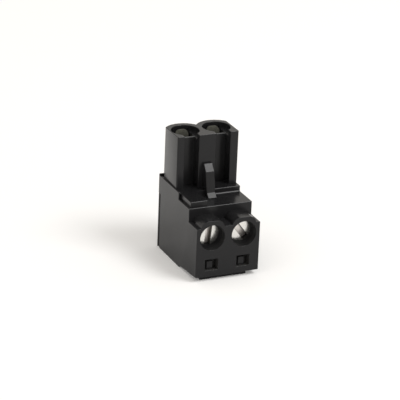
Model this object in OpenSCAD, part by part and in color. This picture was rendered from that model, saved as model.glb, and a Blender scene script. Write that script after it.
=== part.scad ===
// Pluggable screw terminal plug with two poles at 5.08 mm pitch.
// The wires enter at the base, the screws face the front and the pin towers stand on top.
// Each module measures x from the middle, y from the screw face and z from the base.

/* [Poles] */
// Distance between the two poles
pole_pitch = 5.08; // [5:0.02:5.3]
// Height of the screw axes above the base
screw_z = 6.87; // [6.8:0.01:7]
// Distance of the pin axes behind the screw face
pin_y = 11.8; // [11.6:0.05:11.9]

/* [Body] */
// Depth from the screw face to the back
body_depth = 14.7; // [14.5:0.1:16]
// Height of the ledge over the screws
ledge_z = 8.5; // [8.3:0.05:8.7]
// Depth of the ledge over the screws
ledge_depth = 3.1; // [2.9:0.05:3.3]
// Height of the shelf behind the ledge
shelf_z = 10.55; // [10.5:0.05:10.8]
// Distance of the shelf's rear step behind the screw face
step_y = 7.4; // [7.2:0.05:7.8]
// Height of the deck that carries the towers
deck_z = 11.4; // [11.2:0.05:11.5]
// Thickness of the cheek along the left side
cheek_t = 0.24; // [0.15:0.01:0.3]
// Height of the cheek's rear part
cheek_z = 11.65; // [11.55:0.05:11.8]
// Distance of the cheek's step behind the screw face
cheek_step_y = 7.1; // [6.9:0.05:7.2]
// Thickness of the rail along the back
rail_t = 0.3; // [0.2:0.05:0.4]
// Height of the rail along the back
rail_z = 11.9; // [11.8:0.05:12.5]
// Inset of the towers from the right side
right_inset = 0.04; // [0.02:0.01:0.2]

/* [Underside] */
// Depth of the front part that is raised off the base plane
relief_depth = 5.6; // [5.2:0.1:5.7]
// Height of the relief at the screw face
relief_front_z = 0.8; // [0.5:0.05:1]
// Height of the relief at its rear end
relief_rear_z = 0.35; // [0.2:0.05:0.5]
// Set-back of the front foot from the screw face
foot_setback = 0.8; // [0.4:0.1:1.5]
// Inset of the front foot from the left side
foot_left = 1.1; // [0.8:0.1:1.5]
// Inset of the front foot from the right side
foot_right = 1.6; // [1:0.1:2.5]
// Length of the wedge notch along the rear upright edges
notch_len = 0.78; // [0.5:0.02:0.9]
// Depth of the wedge notch at its front end
notch_depth = 0.32; // [0.15:0.01:0.4]
// Height of the wedge notch
notch_z = 8.8; // [7:0.1:9]

/* [Screw bosses] */
// Diameter of the screwdriver hole
access_d = 3.95; // [3.9:0.01:4]
// Length of the cone that leads the screw head into its seat
lead_in = 0.55; // [0.5:0.01:0.7]
// Half width of the boss round each hole
boss_half_w = 1.9; // [1.8:0.05:2.1]
// Height of the boss above the screw axis
boss_rise = 2.66; // [2.5:0.02:2.8]
// Corner radius of the boss
boss_r = 1.2; // [0.9:0.05:1.5]
// Width of the test window
window_w = 2.1; // [1.8:0.05:2.4]
// Height of the test window
window_h = 1.75; // [1.5:0.05:1.9]
// Height of the test window's centre
window_z = 2.6; // [2.5:0.02:2.65]
// Depth of the test window
window_depth = 1.3; // [1.2:0.1:2]
// Distance of the catch from the window's left side
catch_inset = 0.46; // [0.3:0.02:0.6]
// Width of the catch inside the window
catch_w = 1; // [0.8:0.05:1.2]
// Height of the catch inside the window
catch_h = 1.3; // [1:0.05:1.35]
// Set-back of the catch from the screw face
catch_setback = 0.5; // [0.4:0.05:0.8]

/* [Towers] */
// Height of the towers' rim
tower_z = 19.75; // [19.5:0.05:20]
// Distance of the towers' front behind the screw face
tower_y = 8.6; // [8.5:0.05:8.7]
// Radius of each tower's rounded back
tower_r = 3.2; // [3.1:0.05:3.4]
// Radius of the towers' front corners
tower_corner_r = 0.2; // [0.1:0.05:0.4]
// Radius of the round mouth
mouth_r = 2.15; // [2.05:0.05:2.2]
// Wall behind the round mouth
mouth_wall = 0.9; // [0.85:0.05:1]
// Depth of the round mouth
mouth_depth = 0.85; // [0.6:0.05:1]
// Width of the coding slot
slot_w = 2.35; // [2.1:0.05:2.4]
// Depth of the coding slot
slot_depth = 1.9; // [1.7:0.05:1.9]
// Wall between the coding slot and the contact's chamber
slot_wall = 0.35; // [0.3:0.01:0.4]

/* [Latch post and pad] */
// Width of the latch post
post_w = 1.36; // [1.2:0.02:1.6]
// Height of the latch post's top
post_z = 15.3; // [14:0.05:16]
// Distance of the post's flat top edge behind the screw face
post_top_y = 8.2; // [7.9:0.05:8.4]
// Length of the ramp on the post
ramp_len = 0.85; // [0.6:0.05:1.2]
// Drop of the ramp on the post
ramp_drop = 1.05; // [0.7:0.05:1.3]
// Lean of the post's front from the ramp down to its foot
post_lean = 0.65; // [0.4:0.05:0.9]
// Size of the sloped foot of the post
post_foot = 0.6; // [0.5:0.05:0.8]
// Inset of the raised pad from the left side
pad_inset = 0.38; // [0.3:0.01:0.6]
// Width of the raised pad
pad_w = 2.7; // [2:0.1:3]
// Set-back of the raised pad from the shelf's front edge
pad_setback = 0.35; // [0.1:0.05:0.6]

/* [Clamp] */
// Thread diameter of the screws
thread_d = 2.5; // [2.3:0.05:2.6]
// Thread pitch of the screws
thread_pitch = 0.45; // [0.4:0.01:0.45]
// Turns between the open and the closed clamp
clamp_turns = 5; // [4:0.5:5]
// Diameter of the screw head
head_d = 3.4; // [3.3:0.01:3.5]
// Height of the screw head
head_h = 1.3; // [1:0.05:1.35]
// Drop of the domed head at its edge
head_dome = 0.06; // [0.04:0.01:0.3]
// Depth of the left screw head below the screw face
head_depth_left = 1.6; // [1.4:0.05:2]
// Depth of the right screw head below the screw face
head_depth_right = 1.5; // [1.4:0.05:2]
// Angle of the left driver slot from the horizontal
drive_angle_left = 84.4; // [0:0.1:180]
// Angle of the right driver slot from the horizontal
drive_angle_right = 127.4; // [0:0.1:180]
// Width of the driver slot
drive_w = 0.9; // [0.6:0.05:1]
// Depth of the driver slot
drive_depth = 0.75; // [0.5:0.05:0.9]
// Width of the yoke
yoke_w = 3.7; // [3.5:0.05:3.75]
// Height of the yoke along the wire
yoke_h = 4.6; // [4:0.1:4.7]
// Thickness of the yoke's threaded wall
nut_t = 1.3; // [1.1:0.05:1.35]
// Thickness of the yoke's side walls
yoke_side_t = 0.6; // [0.4:0.05:0.65]
// Thickness of the yoke's clamping jaw
jaw_t = 0.7; // [0.5:0.05:0.75]
// Grooves across the clamping jaw
jaw_grooves = 4; // [2:1:5]

/* [Contact] */
// Distance of the current bar behind the screw face
bar_y = 8.6; // [8.55:0.01:8.65]
// Thickness of the current bar
bar_t = 0.8; // [0.6:0.05:0.85]
// Width of the current bar
bar_w = 2.3; // [2:0.05:2.35]
// Opening for the wire between the current bar and the open jaw
wire_gap = 2.6; // [2.4:0.05:2.6]
// Width of the contact's foot that closes the space before the bar
guard_w = 3.3; // [3:0.1:3.6]
// Length of the contact's foot
guard_len = 2.65; // [2.2:0.05:2.7]
// Width of the rear contact leaf
rear_leaf_w = 2.2; // [1.8:0.05:2.25]
// Width of the front contact leaf
front_leaf_w = 1.7; // [1.4:0.05:2]
// Thickness of the contact leaves
leaf_t = 0.3; // [0.2:0.01:0.32]
// Corner radius at the top of the rear leaf
leaf_r = 0.8; // [0.4:0.05:0.85]
// Gap between the leaves where they grip the pin
pin_gap = 0.8; // [0.7:0.05:0.9]
// Distance of the grip below the towers' rim
grip_drop = 2.1; // [1.8:0.1:3]

/* [Clearances] */
// Radial clearance of the screw in the yoke's threaded wall
thread_clear = 0.05; // [0.03:0.01:0.08]
// Radial clearance of the screw head in its seat
head_clear = 0.05; // [0.03:0.01:0.08]
// Clearance of the yoke in its chamber
yoke_clear = 0.1; // [0.06:0.01:0.12]
// Clearance between the front nut face and the chamber at full travel
travel_clear = 0.25; // [0.2:0.01:0.3]
// Clearance between the yoke's threaded wall and the current bar
nut_gap = 1.4; // [1.2:0.05:1.4]
// Clearance between the screw tip and the current bar
tip_clear = 0.1; // [0.05:0.01:0.2]
// Clearance between the yoke and the contact above and below it
yoke_end_clear = 0.25; // [0.2:0.01:0.3]
// Clearance round the contact in its chamber
contact_clear = 0.1; // [0.05:0.01:0.15]

/* [Hidden] */
$fn = 96;
over = 0.5;

left_x = -pole_pitch;
right_x = pole_pitch;
pole_left = -pole_pitch / 2;
pole_right = pole_pitch / 2;
poles = [pole_left, pole_right];
base_y = relief_depth + 0.6;
rear_y = body_depth - rail_t;
sill_z = window_z - window_h / 2;
seat_d = head_d + 2 * head_clear;

// Towers
mouth_y = rear_y - mouth_wall - mouth_r;
land_z = tower_z - mouth_depth;
slot_floor_y = tower_y + slot_depth;

// Yoke in its open position
travel = thread_pitch * clamp_turns;
nut_inner_y = bar_y - nut_gap;
nut_front_y = nut_inner_y - nut_t;
jaw_inner_y = bar_y + bar_t + wire_gap;
jaw_outer_y = jaw_inner_y + jaw_t;
yoke_bottom = screw_z - yoke_h / 2;
yoke_top = screw_z + yoke_h / 2;

// Clamp chamber
chamber_w = yoke_w + 2 * yoke_clear;
chamber_front = nut_front_y - travel - travel_clear;
chamber_back = jaw_outer_y + yoke_clear;
chamber_bottom = yoke_bottom - yoke_clear;
chamber_top = yoke_top + yoke_clear;
entry_front = nut_front_y - yoke_clear;
entry_flare = 0.35;

// Contact
bridge_bottom = yoke_top + yoke_end_clear + yoke_clear;
bridge_top = bridge_bottom + bar_t;
guard_top = yoke_bottom - yoke_end_clear;
guard_bottom = guard_top - bar_t;
front_grip_y = pin_y - pin_gap / 2;
rear_grip_y = pin_y + pin_gap / 2;
grip_z = tower_z - grip_drop;
rear_leaf_top = tower_z - 0.4;
front_leaf_top = land_z - 0.2;
rear_root_y = rear_grip_y + 0.3;
front_root_y = front_grip_y - 0.1;
rear_lip_y = rear_grip_y + 0.5;
front_lip_y = front_grip_y - 0.12;
cell_front = slot_floor_y + slot_wall;
cell_back = rear_lip_y + leaf_t + 1.5 * contact_clear;

// Moves the measuring frame's origin to the middle of the base
module in_frame() translate([0, -body_depth / 2, 0]) children();

// A block from corner a to corner b
module block(a, b) translate(a) cube(b - a);

// Extrudes an outline of [y, z] points across x, from x0 to x1
module across(x0, x1) translate([x0, 0, 0]) rotate([90, 0, 90]) linear_extrude(x1 - x0) children();

// Side outline of the body, with its step at step and its rear height at top
module side_outline(step, top) polygon([
    [0, relief_front_z], [0, ledge_z], [ledge_depth, ledge_z], [ledge_depth, shelf_z],
    [step, shelf_z], [step, top], [body_depth, top], [body_depth, 0],
    [base_y, 0], [relief_depth, relief_rear_z]]);

// A plate seen from the front, from z0 up to z1, with its two top corners rounded by r, y0 to y1 thick
module arched_plate(x, half_w, z0, z1, r, y0, y1)
    translate([0, y1, 0]) rotate([90, 0, 0]) linear_extrude(y1 - y0) {
        for (side = [-1, 1]) translate([x + side * (half_w - r), z1 - r]) circle(r);
        translate([x - half_w, z0]) square([2 * half_w, z1 - r - z0]);
        translate([x - half_w + r, z0]) square([2 * (half_w - r), z1 - z0]);
    }

// Plan of the two joined towers: a flat front with round corners and a round back at each pole
module tower_plan() {
    x0 = left_x + cheek_t;
    x1 = right_x - right_inset;
    round_y = rear_y - tower_r;
    intersection() {
        union() {
            for (x = poles) translate([x, round_y]) circle(tower_r);
            translate([x0, tower_y + tower_corner_r])
                square([x1 - x0, round_y - tower_y - tower_corner_r]);
            translate([x0 + tower_corner_r, tower_y])
                square([x1 - x0 - 2 * tower_corner_r, round_y - tower_y]);
            for (x = [x0 + tower_corner_r, x1 - tower_corner_r])
                translate([x, tower_y + tower_corner_r]) circle(tower_corner_r);
        }
        translate([x0, tower_y]) square([x1 - x0, rear_y - tower_y]);
    }
}

// Latch post at mid width, with a ramp at its top and a sloped foot
module latch_post() {
    ramp_y = post_top_y - ramp_len;
    ramp_z = post_z - ramp_drop;
    foot_y = ramp_y - post_lean;
    across(-post_w / 2, post_w / 2) polygon([
        [tower_y + over, shelf_z - over], [tower_y + over, post_z], [post_top_y, post_z],
        [ramp_y, ramp_z], [foot_y, shelf_z + post_foot], [foot_y - post_foot, shelf_z],
        [foot_y - post_foot, shelf_z - over]]);
}

// Flared mouth of the wire entry, wider by the flare at the base plane
module entry_mouth(x) intersection() {
    translate([x, body_depth, 0]) rotate([90, 0, 0]) linear_extrude(body_depth) polygon([
        [-chamber_w / 2 - entry_flare, 0], [chamber_w / 2 + entry_flare, 0],
        [chamber_w / 2, entry_flare], [-chamber_w / 2, entry_flare]]);
    across(x - pole_pitch / 2, x + pole_pitch / 2) polygon([
        [entry_front - entry_flare, 0], [chamber_back + entry_flare, 0],
        [chamber_back, entry_flare], [entry_front, entry_flare]]);
}

// All that is cut out of the housing at one pole
module pole_cuts(x, head_depth) {
    // Screwdriver hole, lead-in cone, then the closer seat of the head
    guide_len = head_depth - lead_in;
    translate([x, 0, screw_z]) rotate([-90, 0, 0]) {
        translate([0, 0, -over]) cylinder(d = access_d, h = guide_len + over);
        translate([0, 0, guide_len]) cylinder(d1 = access_d, d2 = seat_d, h = lead_in);
        cylinder(d = seat_d, h = chamber_front + over);
    }
    // Clamp chamber, and the wire entry below it
    block([x - chamber_w / 2, chamber_front, chamber_bottom],
          [x + chamber_w / 2, chamber_back, chamber_top]);
    block([x - chamber_w / 2, entry_front, -over],
          [x + chamber_w / 2, chamber_back, chamber_bottom + over]);
    entry_mouth(x);
    // Seat of the contact's bridge, then the cell of its leaves
    block([x - bar_w / 2, bar_y - contact_clear, chamber_top - over],
          [x + bar_w / 2, cell_back, bridge_top]);
    block([x - rear_leaf_w / 2 - contact_clear, cell_front, bridge_top - over],
          [x + rear_leaf_w / 2 + contact_clear, cell_back, land_z + over]);
    // Round mouth and coding slot of the tower
    translate([x, mouth_y, land_z]) cylinder(r = mouth_r, h = mouth_depth + over);
    block([x - slot_w / 2, tower_y - over, deck_z], [x + slot_w / 2, slot_floor_y, tower_z + over]);
    // Test window, with a catch left standing on its sill
    catch_x = x - window_w / 2 + catch_inset;
    difference() {
        block([x - window_w / 2, -over, sill_z], [x + window_w / 2, window_depth, sill_z + window_h]);
        block([catch_x, catch_setback, sill_z - over],
              [catch_x + catch_w, window_depth + over, sill_z + catch_h]);
    }
}

// Plan of the wedge notches in the rear upright edges, deepest at their front ends
module notch_plan() for (side = [-1, 1]) {
    notch_y = body_depth - notch_len;
    polygon([[side * (right_x + over), notch_y], [side * (right_x - notch_depth), notch_y],
             [side * right_x, body_depth], [side * (right_x + over), body_depth]]);
}

// Moulded housing in one piece: body, bosses, towers, rear rail, latch post and pad
module housing() in_frame() color("#1c1d1f") {
    pad_x = left_x + pad_inset;
    difference() {
        union() {
            across(left_x, left_x + cheek_t) side_outline(cheek_step_y, cheek_z);
            across(left_x + cheek_t, right_x) side_outline(step_y, deck_z);
            for (x = poles)
                arched_plate(x, boss_half_w, ledge_z - over, screw_z + boss_rise, boss_r,
                             0, ledge_depth + over);
            translate([0, 0, deck_z - over]) linear_extrude(tower_z - deck_z + over) tower_plan();
            block([left_x, rear_y, 0], [right_x, body_depth, rail_z]);
            latch_post();
            block([pad_x, ledge_depth + pad_setback, shelf_z - over], [pad_x + pad_w, step_y + over, deck_z]);
            block([left_x + foot_left, foot_setback, 0],
                  [right_x - foot_right, base_y + over, relief_front_z]);
        }
        pole_cuts(pole_left, head_depth_left);
        pole_cuts(pole_right, head_depth_right);
        translate([0, 0, -over]) linear_extrude(notch_z + over) notch_plan();
    }
}

// Stamped leaf of the socket: root, grip and flared lip, thickened by t along y
module leaf(root_y, grip_y, lip_y, top, t) {
    path = [[root_y, bridge_top - 0.1], [grip_y, grip_z - 0.4], [grip_y, grip_z], [lip_y, top]];
    polygon(concat(path, [for (i = [len(path) - 1 : -1 : 0]) [path[i][0] + t, path[i][1]]]));
}

// Contact in one stamping: foot, current bar, bridge and the two leaves round the pin
module contact(x) in_frame() color("#cfccc2") {
    block([x - guard_w / 2, bar_y - guard_len, guard_bottom], [x + guard_w / 2, bar_y + bar_t, guard_top]);
    block([x - bar_w / 2, bar_y, guard_bottom], [x + bar_w / 2, bar_y + bar_t, bridge_top]);
    block([x - bar_w / 2, bar_y, bridge_bottom], [x + bar_w / 2, rear_root_y + leaf_t, bridge_top]);
    intersection() {
        across(x - rear_leaf_w / 2, x + rear_leaf_w / 2)
            leaf(rear_root_y, rear_grip_y, rear_lip_y, rear_leaf_top, leaf_t);
        arched_plate(x, rear_leaf_w / 2, bridge_bottom, rear_leaf_top, leaf_r, cell_front, cell_back);
    }
    across(x - front_leaf_w / 2, x + front_leaf_w / 2)
        leaf(front_root_y, front_grip_y, front_lip_y, front_leaf_top, -leaf_t);
}

// Clamp yoke: a closed frame with a threaded wall in front and a grooved jaw behind
module clamp_yoke(x) in_frame() color("#b4b8bd") {
    groove = 0.3;
    difference() {
        block([x - yoke_w / 2, nut_front_y, yoke_bottom], [x + yoke_w / 2, jaw_outer_y, yoke_top]);
        block([x - yoke_w / 2 + yoke_side_t, nut_inner_y, yoke_bottom - over],
              [x + yoke_w / 2 - yoke_side_t, jaw_inner_y, yoke_top + over]);
        translate([x, nut_front_y - over, screw_z]) rotate([-90, 0, 0])
            cylinder(d = thread_d + 2 * thread_clear, h = nut_t + 2 * over);
        for (i = [1 : jaw_grooves])
            translate([x, jaw_inner_y, yoke_bottom + i * yoke_h / (jaw_grooves + 1)])
                rotate([45, 0, 0]) cube([yoke_w - 2 * yoke_side_t, groove, groove], center = true);
    }
}

// Slotted screw with a domed head and a tapered tip
module clamp_screw(x, head_depth, drive_angle) in_frame() color("#d9dbde") {
    dome_r = (pow(head_d / 2, 2) + pow(head_dome, 2)) / (2 * head_dome);
    taper = 0.4;
    shank = bar_y - tip_clear - max(head_depth_left, head_depth_right) - head_h;
    translate([x, head_depth, screw_z]) rotate([-90, 0, 0]) difference() {
        union() {
            intersection() {
                cylinder(d = head_d, h = head_h);
                translate([0, 0, dome_r]) sphere(dome_r);
            }
            cylinder(d = thread_d, h = head_h + shank - taper);
            translate([0, 0, head_h + shank - taper])
                cylinder(d1 = thread_d, d2 = thread_d - 2 * taper, h = taper);
        }
        rotate([0, 0, -drive_angle])
            translate([-head_d, -drive_w / 2, -over]) cube([2 * head_d, drive_w, drive_depth + over]);
    }
}

housing();
contact(pole_left);  // contact_left
contact(pole_right);  // contact_right
clamp_yoke(pole_left);  // clamp_yoke_left
clamp_yoke(pole_right);  // clamp_yoke_right
clamp_screw(pole_left, head_depth_left, drive_angle_left);  // clamp_screw_left
clamp_screw(pole_right, head_depth_right, drive_angle_right);  // clamp_screw_right
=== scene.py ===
import math
import bmesh
import bpy
from mathutils import Matrix, Vector


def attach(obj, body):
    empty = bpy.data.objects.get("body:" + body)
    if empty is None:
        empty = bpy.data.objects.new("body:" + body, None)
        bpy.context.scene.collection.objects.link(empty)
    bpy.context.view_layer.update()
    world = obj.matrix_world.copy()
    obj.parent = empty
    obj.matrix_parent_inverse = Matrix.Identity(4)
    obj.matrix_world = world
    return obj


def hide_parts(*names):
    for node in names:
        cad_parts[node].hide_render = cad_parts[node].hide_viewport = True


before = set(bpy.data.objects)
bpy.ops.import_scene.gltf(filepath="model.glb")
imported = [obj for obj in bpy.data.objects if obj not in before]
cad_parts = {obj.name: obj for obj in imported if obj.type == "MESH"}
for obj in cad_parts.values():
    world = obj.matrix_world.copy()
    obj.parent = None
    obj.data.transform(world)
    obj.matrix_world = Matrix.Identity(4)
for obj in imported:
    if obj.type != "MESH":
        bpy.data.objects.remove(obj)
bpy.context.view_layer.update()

# ---------------------------------------------------------------------------
# Camera and setting
# The block stands on its wire side on a white table, seen from its screw side, a little from the
# left and from above.
# ---------------------------------------------------------------------------
MM = 0.001
turn = math.radians(24.48)
pitch = math.radians(21.93)
roll = math.radians(2.33)
distance = 289.3
shift_left = 1.61
shift_up = 0.10
ahead = Vector((math.sin(turn) * math.cos(pitch), math.cos(turn) * math.cos(pitch), -math.sin(pitch)))
right = Vector((math.cos(turn), -math.sin(turn), 0.0))
up = right.cross(ahead)
aim = Vector((0.0, -0.65, 9.8)) * MM
eye = aim - ahead * distance * MM - right * shift_left * MM + up * shift_up * MM

lens = bpy.data.cameras.new("camera")
lens.sensor_width = 36.0
lens.lens = 174.6
lens.clip_start = 0.01
lens.clip_end = 20.0
camera = bpy.data.objects.new("camera", lens)
axes = Matrix((right, up, -ahead)).transposed().to_4x4()
camera.matrix_world = Matrix.Translation(eye) @ axes @ Matrix.Rotation(roll, 4, "Z")
bpy.context.scene.collection.objects.link(camera)
bpy.context.scene.camera = camera
bpy.context.scene.view_settings.view_transform = "Standard"


def colour(code):
    """The linear colour of an sRGB hex value."""
    parts = [int(code[i : i + 2], 16) / 255 for i in (1, 3, 5)]
    return [p / 12.92 if p <= 0.04045 else ((p + 0.055) / 1.055) ** 2.4 for p in parts] + [1.0]


def node(tree, kind, settings=None, links=None):
    """Adds a node with its settings, and its links from (node, socket) to an input."""
    made = tree.nodes.new(kind)
    for key, value in (settings or {}).items():
        if isinstance(key, str) and hasattr(made, key):
            setattr(made, key, value)
        else:
            made.inputs[key].default_value = value
    for key, (source, socket) in (links or {}).items():
        tree.links.new(source.outputs[socket], made.inputs[key])
    return made


def blank_material(name):
    """An empty node material and its tree."""
    made = bpy.data.materials.new(name)
    made.use_nodes = True
    made.node_tree.nodes.clear()
    return made, made.node_tree


def seen_ray(tree):
    """A node with 1 for the rays that show a thing to the eye: straight, mirrored or through something."""
    path = node(tree, "ShaderNodeLightPath")
    either = node(tree, "ShaderNodeMath", {"operation": "MAXIMUM"},
                  {0: (path, "Is Camera Ray"), 1: (path, "Is Glossy Ray")})
    return node(tree, "ShaderNodeMath", {"operation": "MAXIMUM"},
                {0: (either, 0), 1: (path, "Is Transmission Ray")})


def deselect():
    """Leaves object mode with nothing selected."""
    if bpy.context.object and bpy.context.object.mode != "OBJECT":
        bpy.ops.object.mode_set(mode="OBJECT")
    bpy.ops.object.select_all(action="DESELECT")


# White table top: it takes the block's soft shadow, and it looks a little lighter than it lights
deselect()
bpy.ops.mesh.primitive_plane_add(size=6.0, location=(0, 0, 0))
table = bpy.context.object
table.name = "table_top"
extra_white = 0.11
paper, tree = blank_material("matt white table top")
lift = node(tree, "ShaderNodeMath", {"operation": "MULTIPLY", 1: extra_white}, {0: (seen_ray(tree), 0)})
white = node(tree, "ShaderNodeBsdfDiffuse", {"Color": colour("#f4f4f4"), "Roughness": 0.5})
glow = node(tree, "ShaderNodeEmission", {"Color": colour("#ffffff")}, {"Strength": (lift, 0)})
both = node(tree, "ShaderNodeAddShader", links={0: (white, 0), 1: (glow, 0)})
node(tree, "ShaderNodeOutputMaterial", links={"Surface": (both, 0)})
table.data.materials.append(paper)

# Room light: even, slightly warm white walls all round, which look a little lighter than they light
room = bpy.data.worlds.new("white room")
bpy.context.scene.world = room
room.use_nodes = True
tree = room.node_tree
tree.nodes.clear()
room_lights = 0.78
room_looks = 0.85
level = node(tree, "ShaderNodeMix", {"data_type": "FLOAT", 2: room_lights, 3: room_looks},
             {0: (seen_ray(tree), 0)})
glow = node(tree, "ShaderNodeBackground", {"Color": colour("#fffbf5")}, {"Strength": (level, 0)})
node(tree, "ShaderNodeOutputWorld", links={"Surface": (glow, 0)})

# Key light: a square softbox, high up in front of the block's right side
lamp = bpy.data.lights.new("key softbox", "AREA")
lamp.shape = "RECTANGLE"
lamp.size = 0.20
lamp.size_y = 0.20
lamp.energy = 0.96
softbox = bpy.data.objects.new("key softbox", lamp)
hung_at = Vector((0.195, -0.23, 0.395))
block_middle = Vector((0.0, 0.0, 0.01))
facing = (block_middle - hung_at).to_track_quat("-Z", "Y").to_matrix().to_4x4()
softbox.matrix_world = Matrix.Translation(hung_at) @ facing
bpy.context.scene.collection.objects.link(softbox)

# ---------------------------------------------------------------------------
# Housing
# One black moulding with the two bosses, the shelf, the joined socket towers and the latch post.
# Its edges have the small radius that a spark-eroded steel mould leaves.
# ---------------------------------------------------------------------------
plastic, tree = blank_material("moulded black polyamide")
place = node(tree, "ShaderNodeTexCoord")
# Sink and flow of the melt, about 3 mm across, seen as a slow unevenness of the gloss
flow = node(tree, "ShaderNodeTexNoise", {"Scale": 1 / (3.0 * MM), "Detail": 2.0},
            {"Vector": (place, "Object")})
# Eroded mould skin: its grain is about 0.02 mm, drawn at 0.12 mm so that it shows
grain = node(tree, "ShaderNodeTexNoise", {"Scale": 1 / (0.12 * MM), "Detail": 3.0},
             {"Vector": (place, "Object")})
gloss = node(tree, "ShaderNodeMapRange", {"From Min": 0.2, "From Max": 0.8, "To Min": 0.19, "To Max": 0.27},
             {"Value": (flow, "Fac")})
waves = node(tree, "ShaderNodeBump", {"Strength": 0.12, "Distance": 0.02 * MM}, {"Height": (flow, "Fac")})
relief = node(tree, "ShaderNodeBump", {"Strength": 0.2, "Distance": 0.004 * MM},
              {"Height": (grain, "Fac"), "Normal": (waves, "Normal")})
tint = node(tree, "ShaderNodeMix", {"data_type": "RGBA", 6: colour("#1b1b1d"), 7: colour("#222223")},
            {0: (grain, "Fac")})
skin = node(tree, "ShaderNodeBsdfPrincipled", {"IOR": 1.5, "Specular IOR Level": 0.24},
            {"Base Color": (tint, 2), "Roughness": (gloss, "Result"), "Normal": (relief, "Normal")})
node(tree, "ShaderNodeOutputMaterial", links={"Surface": (skin, 0)})


def made_from(name, source, *materials, edge, share=lambda middle: 1.0, settle=None):
    """A piece in the place of a CAD node, with a chamfer of edge mm on its sharp convex edges.

    settle moves its points, and share gives the part of the chamfer that an edge gets, by its middle in mm.
    """
    sharp = math.radians(30)
    same_place = 0.002 * MM
    deselect()
    piece = bpy.data.objects.new(name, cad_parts[source].data.copy())
    bpy.context.scene.collection.objects.link(piece)
    piece.data.materials.clear()
    for material in materials:
        piece.data.materials.append(material)
    piece.select_set(True)
    bpy.context.view_layer.objects.active = piece
    bpy.ops.mesh.customdata_custom_splitnormals_clear()
    bpy.ops.object.mode_set(mode="EDIT")
    bpy.ops.mesh.select_all(action="SELECT")
    bpy.ops.mesh.remove_doubles(threshold=0.0005 * MM)
    bpy.ops.mesh.dissolve_limited(angle_limit=math.radians(0.3))
    bpy.ops.object.mode_set(mode="OBJECT")
    shell = bmesh.new()
    shell.from_mesh(piece.data)
    if settle:
        for point in shell.verts:
            settle(point.co)
        bmesh.ops.remove_doubles(shell, verts=shell.verts, dist=same_place)
    weight = shell.edges.layers.float.new("bevel_weight_edge")
    for line in shell.edges:
        if line.is_convex and line.calc_face_angle() > sharp:
            line[weight] = share((line.verts[0].co + line.verts[1].co) / 2 / MM)
    shell.to_mesh(piece.data)
    shell.free()
    rounding = piece.modifiers.new("edge rounding", "BEVEL")
    rounding.width = edge * MM
    rounding.segments = 1
    rounding.limit_method = "WEIGHT"
    rounding.use_clamp_overlap = False
    bpy.ops.object.modifier_apply(modifier=rounding.name)
    bpy.ops.object.shade_smooth_by_angle(angle=math.radians(20))
    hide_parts(source)
    return piece


def mottled(name, lump, detail, dark, light, settings, roughness=None):
    """A material whose tint, and roughness where it has two ends, change in lumps of lump mm."""
    made, tree = blank_material(name)
    place = node(tree, "ShaderNodeTexCoord")
    lumps = node(tree, "ShaderNodeTexNoise", {"Scale": 1 / (lump * MM), "Detail": detail},
                 {"Vector": (place, "Object")})
    tint = node(tree, "ShaderNodeMix", {"data_type": "RGBA", 6: colour(dark), 7: colour(light)},
                {0: (lumps, "Fac")})
    links = {"Base Color": (tint, 2)}
    if roughness:
        ends = {"From Min": 0.3, "From Max": 0.7, "To Min": roughness[0], "To Max": roughness[1]}
        gloss = node(tree, "ShaderNodeMapRange", ends, {"Value": (lumps, "Fac")})
        links["Roughness"] = (gloss, "Result")
    skin = node(tree, "ShaderNodeBsdfPrincipled", settings, links)
    node(tree, "ShaderNodeOutputMaterial", links={"Surface": (skin, 0)})
    return made


# Driver holes' walls: a rougher skin off the core pins, with a grain of 0.15 mm, and painted shade, a darker
# tint and half the reflection, which keeps the holes dark and takes the glint off their rims
hole_skin_and_shade = mottled("polyamide skin off the core pins, with painted shade", 0.15, 3.0, "#19191a", "#212122",
                {"IOR": 1.5, "Specular IOR Level": 0.12}, roughness=(0.5, 0.6))

# Painted light in the windows: a lighter grey, mottled in grains of 0.1 mm, lifts the black of their deep
# walls a little, in place of the light that reaches into them
window_painted_light = mottled("polyamide in the windows with painted light", 0.1, 4.0, "#2a2a2a", "#3b3a39",
                {"IOR": 1.5, "Specular IOR Level": 0.2, "Roughness": 0.7})

screw_face_y = -7.35
step_y = 0.05
deck_z = 11.4
pad_right = -2.0
latch_left = -0.68
near = 0.2
thin_share = 0.3


def housing_share(middle):
    """Full rounding, but little on the screw face and on the deck's edge from the pad to the latch."""
    on_screw_face = middle.y < screw_face_y + 0.05
    pad_to_latch = pad_right - near < middle.x < latch_left + near
    on_deck_edge = pad_to_latch and abs(middle.y - step_y) < near and middle.z < deck_z + near
    return thin_share if on_screw_face or on_deck_edge else 1.0


housing = made_from("housing_moulding", "housing", plastic, hole_skin_and_shade, window_painted_light, edge=0.055, share=housing_share)

# The holes' walls get the core pins' skin with its painted shade and the windows' walls the painted light,
# but the catches' fronts keep the plain moulding
hole_x = 2.54
hole_z = 6.87
# Limits for the middles of those faces, round holes of 3.95 mm and windows of 2.1 x 1.75 mm
hole_reach = 2.08
hole_end_y = -4.5
window_low = 1.5
window_high = 3.8
window_half = 1.1
catch_y = -6.6
for face in housing.data.polygons:
    x, y, z = face.center / MM
    in_hole = math.hypot(abs(x) - hole_x, z - hole_z) < hole_reach
    in_window = window_low < z < window_high and abs(abs(x) - hole_x) < window_half
    catch_front = in_window and face.normal.y < -0.5 and y < catch_y
    if screw_face_y + 0.01 < y < hole_end_y and (in_hole or in_window) and not catch_front:
        face.material_index = 2 if in_window else 1

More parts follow.
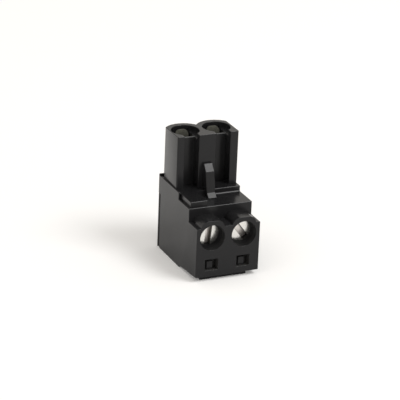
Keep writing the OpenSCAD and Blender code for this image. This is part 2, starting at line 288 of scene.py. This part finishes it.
# Fillet where the deck's step stands on the shelf, right of the latch: a narrow bead that catches light.
# Its foot is sunk into the shelf, and its back lies on the step.
fillet = 0.12
sunk = 0.02
fillet_left = 0.7
fillet_right = 5.07
shelf_z = 10.55
profile = ((step_y, shelf_z - sunk), (step_y - fillet, shelf_z - sunk),
           (step_y - fillet, shelf_z), (step_y, shelf_z + fillet))
corners = [(x * MM, y * MM, z * MM) for x in (fillet_left, fillet_right) for y, z in profile]
shell = bmesh.new()
shell.from_mesh(housing.data)
bead = [shell.verts.new(corner) for corner in corners]
for loop in ((0, 1, 2, 3), (7, 6, 5, 4), (0, 4, 5, 1), (1, 5, 6, 2), (2, 6, 7, 3), (3, 7, 4, 0)):
    shell.faces.new([bead[corner] for corner in loop])
shell.to_mesh(housing.data)
shell.free()
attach(housing, "plug")

# ---------------------------------------------------------------------------
# Clamp screws
# M2.5 slotted screws of cold-headed steel with a bright zinc coat. Their heads bear at the bottom of the
# driver holes, and their shanks run through the yokes' threads.
# ---------------------------------------------------------------------------
# Clouds of 0.5 mm in the passivated zinc, seen as soft changes of gloss and grey
zinc = mottled("zinc-plated steel", 0.5, 4.0, "#dfdeda", "#f0efec", {"Metallic": 1.0}, roughness=(0.18, 0.26))

# Driver slot, both in marks of 0.1 mm: the saw leaves its floor matt, and its walls get painted shade, a dark
# grey for the shade deep in the slot
slot_wall_shade = mottled("slot wall with painted shade", 0.1, 3.0, "#44423e", "#5c5a55", {"Metallic": 1.0, "Roughness": 0.45})
slot_floor = mottled("sawn slot floor", 0.1, 3.0, "#dcd6d2", "#ebe6e2", {"Metallic": 1.0, "Roughness": 0.3})

head_y = {"left": -5.75, "right": -5.85}
thread_reach = 1.26
flat_end = 0.045
dome_fall = 0.032


def on_dome(point):
    """Lowers the shank's flat end, which stands out of the low domed head, to the dome's height round it."""
    front = head_y["left" if point.x < 0 else "right"]
    from_axis = math.hypot(abs(point.x) - hole_x * MM, point.z - hole_z * MM)
    if from_axis < thread_reach * MM and point.y < (front + flat_end) * MM:
        point.y = (front + dome_fall) * MM


# Limits for the middles of the driver slot's faces: the slot is 0.75 mm deep, in a head of 3.4 mm
inside_head = 1.5
above_floor = 0.6
below_floor = 1.0

for side in ("left", "right"):
    screw = made_from("slotted_screw_" + side, "clamp_screw_" + side, zinc, slot_wall_shade, slot_floor,
                      edge=0.04, settle=on_dome)
    for face in screw.data.polygons:
        x, y, z = face.center / MM
        depth = y - head_y[side]
        in_slot = depth < below_floor and math.hypot(abs(x) - hole_x, z - hole_z) < inside_head
        is_wall = abs(face.normal.y) < 0.8
        # The slot's walls take the painted shade, its floor the matt sawn zinc
        if in_slot and is_wall:
            face.material_index = 1
        elif in_slot and depth > above_floor:
            face.material_index = 2
    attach(screw, "screw_" + side)

# ---------------------------------------------------------------------------
# Clamp yokes
# Bent and threaded cages of galvanised steel strip. They slide in the housing's chambers as the screws
# turn, and press the wires on the current bars.
# ---------------------------------------------------------------------------
# Spangle of the zinc bath, about 0.8 mm across, seen as dull and light patches
galvanised = mottled("galvanised steel strip", 0.8, 4.0, "#a9adb1", "#c2c5c8", {"Metallic": 1.0},
                     roughness=(0.35, 0.5))

for side in ("left", "right"):
    yoke = made_from("threaded_yoke_" + side, "clamp_yoke_" + side, galvanised, edge=0.06)
    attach(yoke, "yoke_" + side)

# ---------------------------------------------------------------------------
# Contacts
# Stampings of tinned copper alloy: current bar, bridge and the two leaves that grip the pin. They are
# pushed into slots of the housing.
# ---------------------------------------------------------------------------
tin, tree = blank_material("tinned copper alloy")
place = node(tree, "ShaderNodeTexCoord")
# Matt bath tin, whose gloss changes in clouds of 0.6 mm
cloud = node(tree, "ShaderNodeTexNoise", {"Scale": 1 / (0.6 * MM), "Detail": 3.0},
             {"Vector": (place, "Object")})
gloss = node(tree, "ShaderNodeMapRange", {"From Min": 0.3, "From Max": 0.7, "To Min": 0.5, "To Max": 0.7},
             {"Value": (cloud, "Fac")})
# Specks of 0.07 mm in a dark grey, darker and lighter, which break up the grey
speck = node(tree, "ShaderNodeTexNoise", {"Scale": 1 / (0.07 * MM), "Detail": 4.0},
             {"Vector": (place, "Object")})
spots = node(tree, "ShaderNodeMapRange", {"From Min": 0.4, "From Max": 0.62}, {"Value": (speck, "Fac")})
tint = node(tree, "ShaderNodeMix", {"data_type": "RGBA", 6: colour("#474842"), 7: colour("#6a6962")},
            {0: (spots, "Result")})
skin = node(tree, "ShaderNodeBsdfPrincipled", {"Metallic": 1.0},
            {"Base Color": (tint, 2), "Roughness": (gloss, "Result")})
node(tree, "ShaderNodeOutputMaterial", links={"Surface": (skin, 0)})

for side in ("left", "right"):
    contact = made_from("stamped_contact_" + side, "contact_" + side, tin, edge=0.04)
    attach(contact, "plug")
